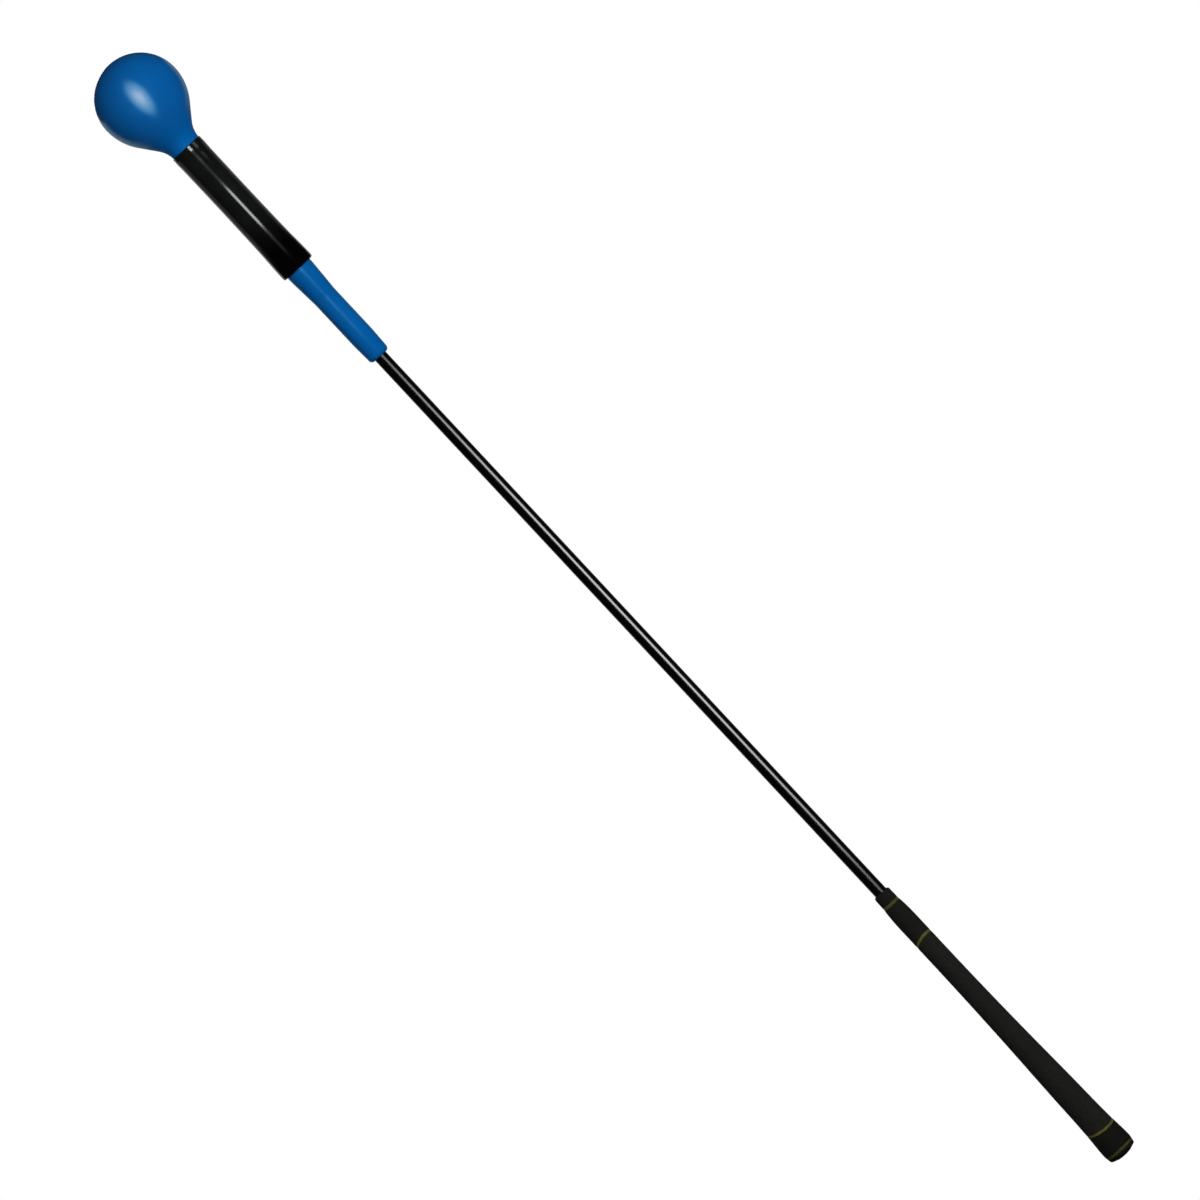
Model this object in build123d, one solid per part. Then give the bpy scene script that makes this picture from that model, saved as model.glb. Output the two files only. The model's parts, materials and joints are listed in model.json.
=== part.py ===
from build123d import *
import math
import os

os.makedirs("parts", exist_ok=True)

# Swing trainer stick, in millimetres. The shaft runs up +Z, the ball is at the
# top, and the origin is the centre of the grip's butt end. The grip's front
# panel faces -Y.

# Driving dimensions ------------------------------------------------------
overall_length = 1219.2  # 48 in
ball_radius = 38.1  # 3 in ball
shaft_radius = 5.8
glue_gap = 0.05  # radial room between parts bonded to each other

# Ball, neck and what is in them
ball_height = overall_length - ball_radius
shoulder_radius = 45.9  # fuller arc of the ball's lower half
cone_angle = 37.0  # half-angle of the cone that leads into the neck
neck_radius = 13.75
neck_fillet = 22.9
core_radius = 33.5
weight_radius = 9.5
weight_low = 1014.0
weight_high = 1112.0
ferrule_radius = 8.0
ferrule_low = 1152.0
tip_height = 1184.0  # top of the rod inside the ball
ferrule_cap = 3.0
pin_radius = 1.5
pin_length = 15.6
pin_height = 1168.0

# Sleeve over the neck
sleeve_low = 992.2
sleeve_high = 1126.9
sleeve_radius = 14.5
sleeve_lip_radius = 14.75  # top edge
sleeve_flare_radius = 15.4  # bottom edge
flare_high = 1037.7
flare_collar_high = 999.7
sleeve_wall = 0.85
sleeve_edge = 0.3  # bevel of both its edges

# Boot below the sleeve
boot_low = 894.4
boot_radius = 10.4
boot_shoulder_radius = 12.1
boot_taper_low = 960.6
boot_taper_high = 991.5
boot_ledge_radius = 12.3  # inner edge of the ledge that the sleeve's end covers
boot_ledge_high = 995.7
boot_end_rounding = 2.6
boot_end_taper = 0.7
boot_end_taper_high = 915.6

# Grip
grip_mouth = 294.0
grip_bore = 7.2
grip_top_radius = 9.0
grip_taper = ((12.6, 33.0), (11.5, 80.0), (10.1, 133.0), (9.2, 190.0))  # radius, height
grip_straight_low = 240.0
grip_shoulder_low = 262.0
shoulder_mid_radius = 8.75
bore_step = 8.0  # length over which the bore narrows to the rod
butt_radius = 13.8  # widest point of the grip
rim_height = 10.3  # where it is widest
rim_bulge = 20.8  # radius of the rim's arc
cap_depth = 5.5  # where the cap meets its gold band
cap_dome = ((2.8, 0.0), (7.2, 0.8), (10.9, 2.1))  # radius, height
cap_corner_mid = (12.2, 2.9)
cap_corner_high = 4.2
cap_spigot_radius = 9.5
cap_spigot_high = 11.2
vent_radius = 1.6

# Gold bands in the grip: heights of their middles, widths and depth. The two
# panel bands are cut on a slant, so that the panel is longest at the front.
band_depth = 0.6
mouth_band_height = 281.9
mouth_band_width = 2.7
mouth_band_radius = 8.0
lip_radius = 7.85
lip_arc = ((7.75, grip_mouth - 5.0), (7.4, grip_mouth - 1.5), (6.9, grip_mouth))  # radius, height
upper_band_height = 241.9
upper_band_rise = 3.4
upper_band_width = 2.5
lower_band_height = 30.7
lower_band_rise = -2.95
lower_band_width = 2.2
lower_band_radius = 12.7
cap_band_width = 2.5

# Parts inside the grip
tube_radius = 7.0
tape_thickness = 0.15
tape_low = 13.4
plug_low = 12.4
plug_head = 3.0
plug_spigot = 6.0
rod_butt = 104.0

# Flexing stretch: the rod bends at four evenly spaced hinge points
hinge_count = 4
cup_clearance = 0.1
cup_rim = 1.6  # how far above the hinge point a cup's rim stands


# Helpers -----------------------------------------------------------------
def turned(*edges):
    """Turn a closed outline of (radius, height) edges about the Z axis."""
    return revolve(Plane.XZ * make_face(edges), Axis.Z)


def turned_points(*points):
    """Turn a closed outline of straight edges about the Z axis."""
    return turned(*Polyline(*points, close=True).edges())


def tube(inner, outer, low, high):
    return turned_points((inner, low), (outer, low), (outer, high), (inner, high))


def rod(radius, low, high):
    return Pos(0, 0, low) * Cylinder(radius, high - low, align=(Align.CENTER, Align.CENTER, Align.MIN))


def ball(radius, height):
    return Pos(0, 0, height) * Sphere(radius)


def cross_pin(radius, length, height):
    """Cylinder along X, centred on the shaft."""
    return Pos(0, 0, height) * Rot(0, 90, 0) * Cylinder(radius, length)


def save(shape, name):
    shape.label = name
    export_step(shape, f"parts/{name}.step")


# Head --------------------------------------------------------------------
def bulb():
    """Solid outer form of the ball, its cone and its neck."""
    slope = math.radians(cone_angle)
    shoulder_x = ball_radius - shoulder_radius
    cone_top = (
        shoulder_x + shoulder_radius * math.cos(slope),
        ball_height - shoulder_radius * math.sin(slope),
    )
    corner_height = cone_top[1] - (cone_top[0] - neck_radius) / math.tan(slope)
    fillet_reach = neck_fillet * math.tan(slope / 2)
    fillet_low = corner_height - fillet_reach
    cone_bottom = (
        neck_radius + fillet_reach * math.sin(slope),
        corner_height + fillet_reach * math.cos(slope),
    )
    return turned(
        Line((0, weight_low), (neck_radius, weight_low)),
        Line((neck_radius, weight_low), (neck_radius, fillet_low)),
        CenterArc((neck_radius + neck_fillet, fillet_low), neck_fillet, 180, -cone_angle),
        Line(cone_bottom, cone_top),
        CenterArc((shoulder_x, ball_height), shoulder_radius, -cone_angle, cone_angle),
        CenterArc((0, ball_height), ball_radius, 0, 90),
        Line((0, overall_length), (0, weight_low)),
    )


def ball_cover():
    cavity = ball(core_radius + glue_gap, ball_height)
    weight_room = rod(weight_radius + glue_gap, weight_low - 1, weight_high)
    rod_room = rod(shaft_radius + glue_gap, weight_high - 1, ball_height)
    return bulb() - cavity - weight_room - rod_room


def tip_ferrule():
    thimble = rod(ferrule_radius, ferrule_low, tip_height + ferrule_cap)
    rod_room = rod(shaft_radius + glue_gap, ferrule_low - 1, tip_height)
    return thimble - rod_room - cross_pin(pin_radius, 3 * ferrule_radius, pin_height)


def ball_core():
    socket = rod(ferrule_radius + glue_gap, ferrule_low, tip_height + ferrule_cap)
    rod_room = rod(shaft_radius + glue_gap, ball_height - ball_radius, ferrule_low + 1)
    return ball(core_radius, ball_height) - socket - rod_room


def retaining_pin():
    return cross_pin(pin_radius, pin_length, pin_height)


def weight_tube():
    return tube(shaft_radius + glue_gap, weight_radius, weight_low, weight_high)


def head_sleeve():
    inner = neck_radius + glue_gap
    flare = sleeve_flare_radius
    flare_inner = flare - sleeve_wall
    outside = Spline(
        (flare, flare_collar_high),
        (sleeve_radius, flare_high),
        (sleeve_lip_radius, sleeve_high - sleeve_edge),
        tangents=((0, 1), (0, 1)),
    )
    return turned(
        Line((flare_inner, sleeve_low), (flare - sleeve_edge, sleeve_low)),
        Line((flare - sleeve_edge, sleeve_low), (flare, sleeve_low + sleeve_edge)),
        Line((flare, sleeve_low + sleeve_edge), (flare, flare_collar_high)),
        outside,
        Line((sleeve_lip_radius, sleeve_high - sleeve_edge), (sleeve_lip_radius - sleeve_edge, sleeve_high)),
        Line((sleeve_lip_radius - sleeve_edge, sleeve_high), (inner, sleeve_high)),
        Line((inner, sleeve_high), (inner, weight_low)),
        Line((inner, weight_low), (flare_inner, flare_collar_high)),
        Line((flare_inner, flare_collar_high), (flare_inner, sleeve_low)),
    )


def tail_boot():
    bore = shaft_radius + glue_gap
    collar = sleeve_flare_radius - sleeve_wall - glue_gap
    end_radius = boot_radius - boot_end_taper
    round_high = boot_low + boot_end_rounding
    taper = Spline(
        (boot_radius, boot_taper_low),
        (boot_shoulder_radius, boot_taper_high),
        tangents=((0, 1), (0.1, 1)),
    )
    return turned(
        Line((bore, boot_low), (end_radius - boot_end_rounding, boot_low)),
        CenterArc((end_radius - boot_end_rounding, round_high), boot_end_rounding, -90, 90),
        Line((end_radius, round_high), (boot_radius, boot_end_taper_high)),
        Line((boot_radius, boot_end_taper_high), (boot_radius, boot_taper_low)),
        taper,
        Line((boot_shoulder_radius, boot_taper_high), (boot_ledge_radius, boot_ledge_high)),
        Line((boot_ledge_radius, boot_ledge_high), (collar, boot_ledge_high)),
        Line((collar, boot_ledge_high), (collar, flare_collar_high)),
        Line((collar, flare_collar_high), (neck_radius, weight_low)),
        Line((neck_radius, weight_low), (bore, weight_low)),
        Line((bore, weight_low), (bore, boot_low)),
    )


# Shaft -------------------------------------------------------------------
def hinge_heights():
    """Hinge points at the middle of equal shares of the bare rod."""
    share = (boot_low - grip_mouth) / hinge_count
    return [grip_mouth + share * (i + 0.5) for i in range(hinge_count)]


def shaft_span(low, high, cup=False, dome=False):
    """A stretch of the rod, cupped at its lower end and domed at its upper end."""
    if cup:
        span = rod(shaft_radius, low + cup_rim, high) - ball(shaft_radius + cup_clearance, low)
    else:
        span = rod(shaft_radius, low, high)
    if dome:
        span = span + ball(shaft_radius, high)
    return span


def shaft_spans():
    hinges = hinge_heights()
    tip = shaft_span(hinges[3], tip_height, cup=True)
    return {
        "shaft_butt_span": shaft_span(rod_butt, hinges[0], dome=True),
        "shaft_lower_span": shaft_span(hinges[0], hinges[1], cup=True, dome=True),
        "shaft_middle_span": shaft_span(hinges[1], hinges[2], cup=True, dome=True),
        "shaft_upper_span": shaft_span(hinges[2], hinges[3], cup=True, dome=True),
        "shaft_tip_span": tip - cross_pin(pin_radius, 3 * ferrule_radius, pin_height),
    }


# Grip --------------------------------------------------------------------
def rim_radius(height):
    """Radius of the swollen rim at the grip's butt, near its widest point."""
    return butt_radius - rim_bulge + math.sqrt(rim_bulge**2 - (rim_height - height) ** 2)


def rim_arc(low, high):
    middle = (low + high) / 2
    return ThreePointArc((rim_radius(low), low), (rim_radius(middle), middle), (rim_radius(high), high))


def grip_body():
    """Grip without its panel bands' grooves, bored for the taped tube."""
    low = cap_depth + cap_band_width
    mouth_bore = shaft_radius + glue_gap
    band_low = mouth_band_height - mouth_band_width / 2
    band_high = mouth_band_height + mouth_band_width / 2
    band_floor = mouth_band_radius - band_depth
    bore_step_high = grip_shoulder_low + bore_step
    taper = Spline(
        (butt_radius, rim_height),
        *grip_taper,
        (grip_top_radius, grip_straight_low),
        tangents=((0, 1), (0, 1)),
    )
    shoulder = ThreePointArc(
        (grip_top_radius, grip_shoulder_low),
        (shoulder_mid_radius, (grip_shoulder_low + band_low) / 2),
        (mouth_band_radius, band_low),
    )
    return turned(
        rim_arc(low, rim_height),
        taper,
        Line((grip_top_radius, grip_straight_low), (grip_top_radius, grip_shoulder_low)),
        shoulder,
        Line((mouth_band_radius, band_low), (band_floor, band_low)),
        Line((band_floor, band_low), (band_floor, band_high)),
        Line((band_floor, band_high), (lip_radius, band_high)),
        Line((lip_radius, band_high), lip_arc[0]),
        ThreePointArc(*lip_arc),
        Line(lip_arc[2], (mouth_bore, grip_mouth)),
        Line((mouth_bore, grip_mouth), (mouth_bore, bore_step_high)),
        Line((mouth_bore, bore_step_high), (grip_bore, grip_shoulder_low)),
        Line((grip_bore, grip_shoulder_low), (grip_bore, cap_spigot_high)),
        Line((grip_bore, cap_spigot_high), (cap_spigot_radius, cap_spigot_high)),
        Line((cap_spigot_radius, cap_spigot_high), (cap_spigot_radius, low)),
        Line((cap_spigot_radius, low), (rim_radius(low), low)),
    )


def panel_groove(height, surface_radius, rise, width):
    """Slanted slab with a round hole that cuts a groove; rise is how much higher its front is."""
    tilt = math.degrees(math.atan(rise / surface_radius))
    slab = Pos(0, 0, height) * Rot(-tilt, 0, 0) * Box(4 * surface_radius, 4 * surface_radius, width)
    return slab - rod(surface_radius - band_depth, 0, grip_mouth)


def mouth_band():
    low = mouth_band_height - mouth_band_width / 2
    return tube(mouth_band_radius - band_depth, mouth_band_radius, low, low + mouth_band_width)


def cap_band():
    low = cap_depth
    high = cap_depth + cap_band_width
    floor = rim_radius(low) - band_depth
    return turned(
        rim_arc(low, high),
        Line((rim_radius(high), high), (floor, high)),
        Line((floor, high), (floor, low)),
        Line((floor, low), (rim_radius(low), low)),
    )


def grip_cap():
    """Domed end cap with a spigot and a vent hole."""
    band_floor = rim_radius(cap_depth) - band_depth
    high = cap_depth + cap_band_width
    corner_end = (rim_radius(cap_corner_high), cap_corner_high)
    return turned(
        Line((vent_radius, 0), cap_dome[0]),
        ThreePointArc(*cap_dome),
        ThreePointArc(cap_dome[2], cap_corner_mid, corner_end),
        rim_arc(cap_corner_high, cap_depth),
        Line((rim_radius(cap_depth), cap_depth), (band_floor, cap_depth)),
        Line((band_floor, cap_depth), (band_floor, high)),
        Line((band_floor, high), (cap_spigot_radius, high)),
        Line((cap_spigot_radius, high), (cap_spigot_radius, cap_spigot_high)),
        Line((cap_spigot_radius, cap_spigot_high), (vent_radius, cap_spigot_high)),
        Line((vent_radius, cap_spigot_high), (vent_radius, 0)),
    )


def build_up_tube():
    return tube(shaft_radius + glue_gap, tube_radius, plug_low + plug_head, grip_shoulder_low)


def grip_tape():
    inner = tube_radius + glue_gap / 2
    return tube(inner, inner + tape_thickness, tape_low, grip_shoulder_low)


def butt_plug():
    head = rod(tube_radius, plug_low, plug_low + plug_head)
    return head + rod(shaft_radius, plug_low, plug_low + plug_head + plug_spigot)


def counterweight():
    return rod(shaft_radius, plug_low + plug_head + plug_spigot, rod_butt)


# Write every sub-part ----------------------------------------------------
upper_groove = panel_groove(upper_band_height, grip_top_radius, upper_band_rise, upper_band_width)
lower_groove = panel_groove(lower_band_height, lower_band_radius, lower_band_rise, lower_band_width)

parts = {
    "ball_cover": ball_cover(),
    "ball_core": ball_core(),
    "tip_ferrule": tip_ferrule(),
    "retaining_pin": retaining_pin(),
    "weight_tube": weight_tube(),
    "head_sleeve": head_sleeve(),
    "tail_boot": tail_boot(),
    **shaft_spans(),
    "build_up_tube": build_up_tube(),
    "grip_tape": grip_tape(),
    "counterweight": counterweight(),
    "butt_plug": butt_plug(),
    "grip_sleeve": grip_body() - upper_groove - lower_groove,
    "grip_cap": grip_cap(),
    "mouth_band": mouth_band(),
    "upper_panel_band": grip_body() & upper_groove,
    "lower_panel_band": grip_body() & lower_groove,
    "cap_band": cap_band(),
}
for part_name, part_shape in parts.items():
    save(part_shape, part_name)
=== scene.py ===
"""Looks of the swing trainer stick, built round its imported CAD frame.

Metres, +Z up the shaft from the grip's butt to the ball. Every shape is turned about Z.
"""
import json
import math

import bmesh
import bpy
import numpy as np
from mathutils import Matrix, Vector

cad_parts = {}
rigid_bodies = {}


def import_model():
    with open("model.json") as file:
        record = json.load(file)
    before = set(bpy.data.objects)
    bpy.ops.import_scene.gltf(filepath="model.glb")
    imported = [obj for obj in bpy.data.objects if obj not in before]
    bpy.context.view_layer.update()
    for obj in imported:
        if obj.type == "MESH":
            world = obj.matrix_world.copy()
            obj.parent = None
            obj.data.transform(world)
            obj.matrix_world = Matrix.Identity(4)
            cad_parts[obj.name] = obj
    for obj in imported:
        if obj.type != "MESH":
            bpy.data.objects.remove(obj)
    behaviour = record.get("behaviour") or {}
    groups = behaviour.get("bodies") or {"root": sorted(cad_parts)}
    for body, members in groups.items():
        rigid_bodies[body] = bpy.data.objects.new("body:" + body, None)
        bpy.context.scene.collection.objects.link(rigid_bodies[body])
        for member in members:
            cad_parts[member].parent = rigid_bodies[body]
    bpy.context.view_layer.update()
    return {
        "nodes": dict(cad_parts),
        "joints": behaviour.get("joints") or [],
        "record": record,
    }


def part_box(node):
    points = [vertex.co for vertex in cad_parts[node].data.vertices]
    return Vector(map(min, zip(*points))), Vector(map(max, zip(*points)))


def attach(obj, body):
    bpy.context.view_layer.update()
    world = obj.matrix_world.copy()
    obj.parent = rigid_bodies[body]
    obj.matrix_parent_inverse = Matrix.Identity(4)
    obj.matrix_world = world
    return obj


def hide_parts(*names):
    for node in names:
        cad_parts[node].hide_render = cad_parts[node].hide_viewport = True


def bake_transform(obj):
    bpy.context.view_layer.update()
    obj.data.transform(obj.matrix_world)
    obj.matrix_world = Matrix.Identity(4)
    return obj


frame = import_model()

MM = 0.001

# Places taken from the frame ----------------------------------------------
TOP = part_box("ball_cover")[1].z
NECK_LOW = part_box("ball_cover")[0].z
SLEEVE_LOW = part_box("head_sleeve")[0].z
SLEEVE_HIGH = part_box("head_sleeve")[1].z
BOOT_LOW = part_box("tail_boot")[0].z
BOOT_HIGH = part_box("tail_boot")[1].z
WEIGHT_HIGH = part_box("weight_tube")[1].z
ROD_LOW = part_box("shaft_butt_span")[0].z
ROD_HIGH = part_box("shaft_tip_span")[1].z
GRIP_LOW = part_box("grip_sleeve")[0].z
GRIP_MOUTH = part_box("grip_sleeve")[1].z
CAP_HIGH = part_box("grip_cap")[1].z
HINGES = [joint["pos_m"][2] for joint in frame["joints"]]

# Driving dimensions, the same as the CAD model's --------------------------
ROD_RADIUS = 5.8 * MM
GLUE_GAP = 0.05 * MM
BALL_RADIUS = 38.1 * MM
BALL_HEIGHT = TOP - BALL_RADIUS
SHOULDER_RADIUS = 45.9 * MM
CONE_ANGLE = 37.0
NECK_RADIUS = 13.75 * MM
NECK_FILLET = 22.9 * MM
CORE_RADIUS = 33.55 * MM
WEIGHT_RADIUS = 9.55 * MM
PARTING_DEPTH = 0.07 * MM
PARTING_WIDTH = 0.22 * MM

SLEEVE_RADIUS = 14.5 * MM
SLEEVE_LIP = 14.75 * MM
SLEEVE_FLARE = 15.4 * MM
SLEEVE_WALL = 0.8 * MM
SLEEVE_WAVE = 0.015 * MM

BOOT_RADIUS = 10.4 * MM
BOOT_SHOULDER = 12.1 * MM
BOOT_COLLAR = 14.5 * MM
BOOT_END = 9.7 * MM
BOOT_ROUNDING = 2.6 * MM
BOOT_WEAR = 1.0 * MM  # how much wear adds to the rounding of its end
BOOT_TAPER_LOW = BOOT_LOW + 66.2 * MM
BOOT_END_TAPER = BOOT_LOW + 21.2 * MM

GRIP_BORE = 7.2 * MM
GRIP_TAPER = ((12.6 * MM, 33 * MM), (11.5 * MM, 80 * MM), (10.1 * MM, 133 * MM), (9.2 * MM, 190 * MM))
GRIP_TOP_RADIUS = 9.0 * MM
GRIP_STRAIGHT_LOW = 240 * MM
GRIP_SHOULDER_LOW = 262 * MM
BORE_STEP = 8 * MM  # length over which the bore narrows to the rod
MOUTH_BAND_RADIUS = 8.0 * MM
LIP_RADIUS = 7.85 * MM
BUTT_RADIUS = 13.8 * MM
RIM_HEIGHT = 10.3 * MM
RIM_BULGE = 20.8 * MM
CAP_SPIGOT = 9.5 * MM
CAP_CORNER = 4.2 * MM
VENT_RADIUS = 1.6 * MM
BAND_DEPTH = 0.6 * MM
BAND_SUNK = 0.1 * MM
BAND_SHAPES = {  # how much higher the front is, and the width
    "mouth_band": (0.0, 2.7 * MM),
    "upper_panel_band": (3.4 * MM, 2.5 * MM),
    "lower_panel_band": (-2.95 * MM, 2.2 * MM),
    "cap_band": (0.0, 2.5 * MM),
}

# Grip pattern --------------------------------------------------------------
HELIX_STARTS = 26
HELIX_PITCH = 4.4 * MM
HELIX_WIDTH = 0.42  # share of the way to the next groove
HELIX_DEPTH = 0.22 * MM
COLLAR_RIBS = 56
RIB_DEPTH = 0.07 * MM
PATTERN_MARGIN = 2.2 * MM

# Camera, at the photograph's viewing angle --------------------------------
VIEW_AZIMUTH = math.radians(-28.5)  # turned so that the slanted bands peak right of centre
VIEW_ELEVATION = math.radians(2.2)
STICK_TILT = math.radians(46.995)  # the stick's slope in the picture, ball at the top left
LENGTH_IN_PICTURE = 1.2426  # the stick's length over the picture's side
MIDDLE_RIGHT = 0.0151  # where the stick's middle lies from the picture's centre,
MIDDLE_DOWN = 0.0092  # in shares of the picture's side
LENS_MM = 360.0
SENSOR_MM = 36.0
FLOOR_LEVEL = -0.35  # the stick is held above the floor
FLOOR_HALF_SIDE = 30.0


def middle(node):
    """Middle height of a node of the frame."""
    low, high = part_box(node)
    return (low.z + high.z) / 2


# Mesh helpers --------------------------------------------------------------
SHARPEST_SMOOTH_EDGE = math.radians(32)


def arc(centre, radius, start, stop, steps):
    """Points of an arc from start to stop degrees, counted from the radial direction."""
    angle = np.radians(np.linspace(start, stop, steps + 1))
    return np.column_stack([centre[0] + radius * np.cos(angle), centre[1] + radius * np.sin(angle)])


def line(start, stop, steps=1):
    return np.linspace(start, stop, steps + 1)


def smooth(points, steps):
    """Curve through (radius, height) points, upright at both ends."""
    radius, height = np.array(points, float).T
    slope = np.gradient(radius, height)
    slope[0] = slope[-1] = 0.0
    spans = []
    for i in range(len(points) - 1):
        t = np.linspace(0, 1, steps + 1)
        rise = height[i + 1] - height[i]
        r = (
            (2 * t**3 - 3 * t**2 + 1) * radius[i]
            + (t**3 - 2 * t**2 + t) * rise * slope[i]
            + (3 * t**2 - 2 * t**3) * radius[i + 1]
            + (t**3 - t**2) * rise * slope[i + 1]
        )
        spans.append(np.column_stack([r, height[i] + rise * t]))
    return np.vstack(spans)


def outline(*runs):
    """Joins runs of points and drops each point that repeats the one before it."""
    points = np.vstack([np.atleast_2d(run) for run in runs])
    keep = np.r_[True, np.linalg.norm(np.diff(points, axis=0), axis=1) > 1e-7]
    return points[keep]


def even_angles(count):
    return np.linspace(0, 2 * math.pi, count, endpoint=False)


def swept(points, angles):
    """Radii and heights, row by row, of an outline carried round to every angle."""
    return np.repeat(points[:, :1], len(angles), axis=1), np.repeat(points[:, 1:], len(angles), axis=1)


def step_up(value, low, high):
    """0 below low, 1 above high, and smooth between them."""
    t = np.clip((value - low) / (high - low), 0, 1)
    return t * t * (3 - 2 * t)


def near(value, centre, reach):
    """1 at centre, falling smoothly to 0 at reach from it."""
    return step_up(reach - np.abs(value - centre), 0, reach)


def sheet_mesh(name, radius, height, angles, closed=True):
    """Mesh from rows of radii and heights at the angles; if closed, the last row joins the first."""
    rows, columns = radius.shape
    vertices = np.dstack([radius * np.cos(angles), radius * np.sin(angles), height]).reshape(-1, 3)
    last = rows if closed else rows - 1
    row = np.arange(last)[:, None]
    column = np.arange(columns)[None, :]
    low = row * columns
    high = ((row + 1) % rows) * columns
    beside = (column + 1) % columns
    faces = np.dstack([low + column, low + beside, high + beside, high + column]).reshape(-1, 4)
    mesh = bpy.data.meshes.new(name)
    mesh.from_pydata(vertices.tolist(), [], faces.tolist())
    body = bmesh.new()
    body.from_mesh(mesh)
    bmesh.ops.remove_doubles(body, verts=body.verts, dist=1e-7)
    bmesh.ops.recalc_face_normals(body, faces=body.faces)
    for face in body.faces:
        face.smooth = True
    for edge in body.edges:
        edge.smooth = edge.calc_face_angle(0.0) < SHARPEST_SMOOTH_EDGE
    body.to_mesh(mesh)
    body.free()
    piece = bpy.data.objects.new(name, mesh)
    bpy.context.scene.collection.objects.link(piece)
    return piece


def turned(name, points, count=128, closed=True):
    """Piece turned from an outline of (radius, height) points."""
    angles = even_angles(count)
    return sheet_mesh(name, *swept(points, angles), angles, closed)


# Material helpers ----------------------------------------------------------
class Paint:
    """A procedural material: a Principled shader and the few nodes that feed it."""

    def __init__(self, name, color, roughness, **sockets):
        self.material = bpy.data.materials.new(name)
        self.material.use_nodes = True
        self.nodes = self.material.node_tree.nodes
        self.links = self.material.node_tree.links
        self.shader = self.nodes["Principled BSDF"]
        self.shader.inputs["Base Color"].default_value = (*color, 1.0)
        self.shader.inputs["Roughness"].default_value = roughness
        for socket, value in sockets.items():
            self.shader.inputs[socket.replace("_", " ")].default_value = value
        self.place = self.nodes.new("ShaderNodeTexCoord").outputs["Object"]

    def stretched(self, scale):
        """Object coordinates scaled by a vector."""
        mapping = self.nodes.new("ShaderNodeMapping")
        mapping.inputs["Scale"].default_value = scale
        self.links.new(self.place, mapping.inputs["Vector"])
        return mapping.outputs["Vector"]

    def noise(self, size, detail=3.0, roughness=0.5, stretch=(1, 1, 1)):
        """Noise whose blobs are about size metres across."""
        texture = self.nodes.new("ShaderNodeTexNoise")
        texture.inputs["Scale"].default_value = 1.0 / size
        texture.inputs["Detail"].default_value = detail
        texture.inputs["Roughness"].default_value = roughness
        self.links.new(self.stretched(stretch), texture.inputs["Vector"])
        return texture.outputs["Fac"]

    def remap(self, value, low, high, out_low=0.0, out_high=1.0):
        """Value carried from low..high to out_low..out_high, and held at both ends."""
        node = self.nodes.new("ShaderNodeMapRange")
        node.inputs["From Min"].default_value = low
        node.inputs["From Max"].default_value = high
        node.inputs["To Min"].default_value = out_low
        node.inputs["To Max"].default_value = out_high
        self.links.new(value, node.inputs["Value"])
        return node.outputs["Result"]

    def mix(self, factor, first, second):
        """Color mix; first and second are colors or sockets."""
        node = self.nodes.new("ShaderNodeMix")
        node.data_type = "RGBA"
        self.links.new(factor, node.inputs["Factor"])
        for socket, value in ((node.inputs[6], first), (node.inputs[7], second)):
            if isinstance(value, tuple):
                socket.default_value = (*value, 1.0)
            else:
                self.links.new(value, socket)
        return node.outputs[2]

    def height(self, slope=0.0):
        """Height above the grip's butt, counted from planes that fall towards the back by slope."""
        node = self.nodes.new("ShaderNodeVectorMath")
        node.operation = "DOT_PRODUCT"
        node.inputs[1].default_value = (0, slope, 1)
        self.links.new(self.place, node.inputs[0])
        return node.outputs["Value"]

    def add(self, first, second):
        node = self.nodes.new("ShaderNodeMath")
        self.links.new(first, node.inputs[0])
        self.links.new(second, node.inputs[1])
        return node.outputs[0]

    def color(self, socket):
        self.links.new(socket, self.shader.inputs["Base Color"])

    def rough(self, socket):
        self.links.new(socket, self.shader.inputs["Roughness"])

    def gloss(self, socket):
        """Specular level that differs from place to place."""
        self.links.new(socket, self.shader.inputs["Specular IOR Level"])

    def bump(self, value, depth, after=None):
        """Bump of depth metres; after is an earlier bump's output."""
        node = self.nodes.new("ShaderNodeBump")
        node.inputs["Distance"].default_value = depth
        node.inputs["Strength"].default_value = 1.0
        self.links.new(value, node.inputs["Height"])
        if after is not None:
            self.links.new(after, node.inputs["Normal"])
        self.links.new(node.outputs["Normal"], self.shader.inputs["Normal"])
        return node.outputs["Normal"]


def blue_moulding():
    """Blue rubber moulding: faintly cloudy, satin on the ball, duller on the neck and boot."""
    paint = Paint("blue_moulding", (0.0008, 0.089, 0.33), 0.25, IOR=1.45)
    cloud = paint.remap(paint.noise(26 * MM, 4.0), 0.3, 0.7)
    paint.color(paint.mix(cloud, (0.0004, 0.091, 0.322), (0.0009, 0.099, 0.344)))
    height = paint.height()
    neck = (height, BALL_HEIGHT - 36 * MM, BALL_HEIGHT - 16 * MM)
    boot = (height, SLEEVE_LOW, SLEEVE_HIGH)
    satin = paint.remap(paint.noise(9 * MM, 5.0), 0.25, 0.75, 0.17, 0.25)
    duller_neck = paint.remap(*neck, 0.18, 0.0)
    smoother_boot = paint.remap(*boot, -0.13, 0.0)
    paint.rough(paint.add(satin, paint.add(duller_neck, smoother_boot)))
    paint.gloss(paint.add(paint.remap(*neck, 0.04, 0.5), paint.remap(*boot, 0.12, 0.0)))
    paint.bump(paint.noise(5 * MM, 2.0, 0.5), 0.014 * MM)
    return paint.material


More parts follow.
